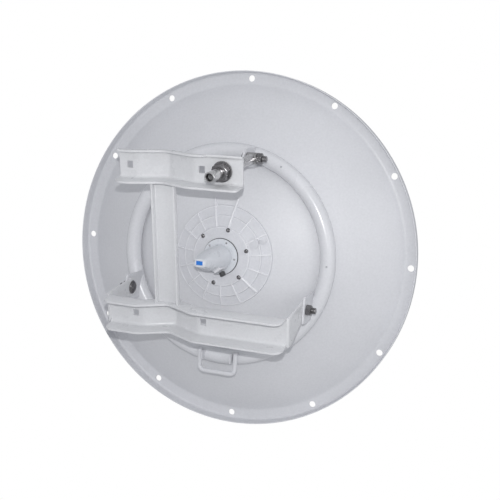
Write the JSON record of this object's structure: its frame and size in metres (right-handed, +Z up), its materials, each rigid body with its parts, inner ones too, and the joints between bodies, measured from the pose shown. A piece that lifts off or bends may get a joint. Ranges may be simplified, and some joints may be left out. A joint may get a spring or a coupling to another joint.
{
  "type": "microwave dish antenna",
  "caption": "Parabolic point-to-point microwave dish antenna on a pressed-steel pole mount with a threaded elevation adjuster, rear feed and carrying handle.",
  "frame": {"origin": "on the flat of the lower bracket that faces the pole clamp, right of the pole seat and halfway up the bracket", "axes": "+Z up along the pole, -Y towards the pole, +Y the way the dish looks, +X towards the threaded adjuster"},
  "size_m": [0.9448, 0.6049, 0.9325],
  "materials": {
    "dish_paint": "satin pale grey paint",
    "frame_paint": "satin pale grey powder coat",
    "hub_plastic": "fine matt pale grey",
    "feed_paint": "satin grey paint",
    "steel": "dull zinc-plated",
    "dark_steel": "dark oiled",
    "black_rubber": "matt",
    "blue_film": "thin glossy film",
    "dielectric": "smooth off-white",
    "aluminium": "satin"
  },
  "bodies": {
    "mount_frame": {"upper_bracket": "frame_paint", "lower_bracket": "frame_paint", "column": "frame_paint", "left_pivot_bolt": "dark_steel", "right_pivot_bolt": "dark_steel", "left_pivot_nut": "dark_steel", "right_pivot_nut": "dark_steel"},
    "dish": {"reflector": "dish_paint", "back_ring": "dish_paint", "left_lug": "dish_paint", "right_lug": "dish_paint", "top_lug": "dish_paint", "top_pin_bolt": "dark_steel", "top_pin_nut": "dark_steel", "hub": "hub_plastic", "feed_gasket": "black_rubber", "feed_flange": "feed_paint", "feed_body": "feed_paint", "feed_port_window": "blue_film", "feed_plug": "black_rubber", "front_collar": "feed_paint", "feed_tube": "aluminium", "feed_dielectric": "dielectric", "splash_plate": "aluminium", "handle": "dish_paint", "left_handle_clip": "dish_paint", "right_handle_clip": "dish_paint"},
    "adjuster_rod": {"adjuster_rod": "steel"},
    "adjuster_nuts": {"front_washer": "dark_steel", "rear_washer": "dark_steel", "front_nut": "dark_steel", "rear_nut": "dark_steel"}
  },
  "joints": [
    {"name": "elevation", "type": "hinge", "parent": "mount_frame", "child": "dish", "pos_m": [-0.0525, 0.1255, 0.0125], "axis": [1, 0, 0], "range_deg": [-3, 18]},
    {"name": "rod_swing", "type": "hinge", "parent": "dish", "child": "adjuster_rod", "pos_m": [0.0255, 0.19051, 0.35999], "axis": [1, 0, 0], "range_deg": [-19, 4]},
    {"name": "nut_travel", "type": "slide", "parent": "adjuster_rod", "child": "adjuster_nuts", "axis": [0, 0.999, -0.0441], "range_m": [-0.02, 0.112]}
  ],
  "couplings": [
    {"joint": "rod_swing", "follows": "elevation", "ratio": -1},
    {"joint": "nut_travel", "follows": "elevation", "m_per_rad": 0.3517}
  ]
}
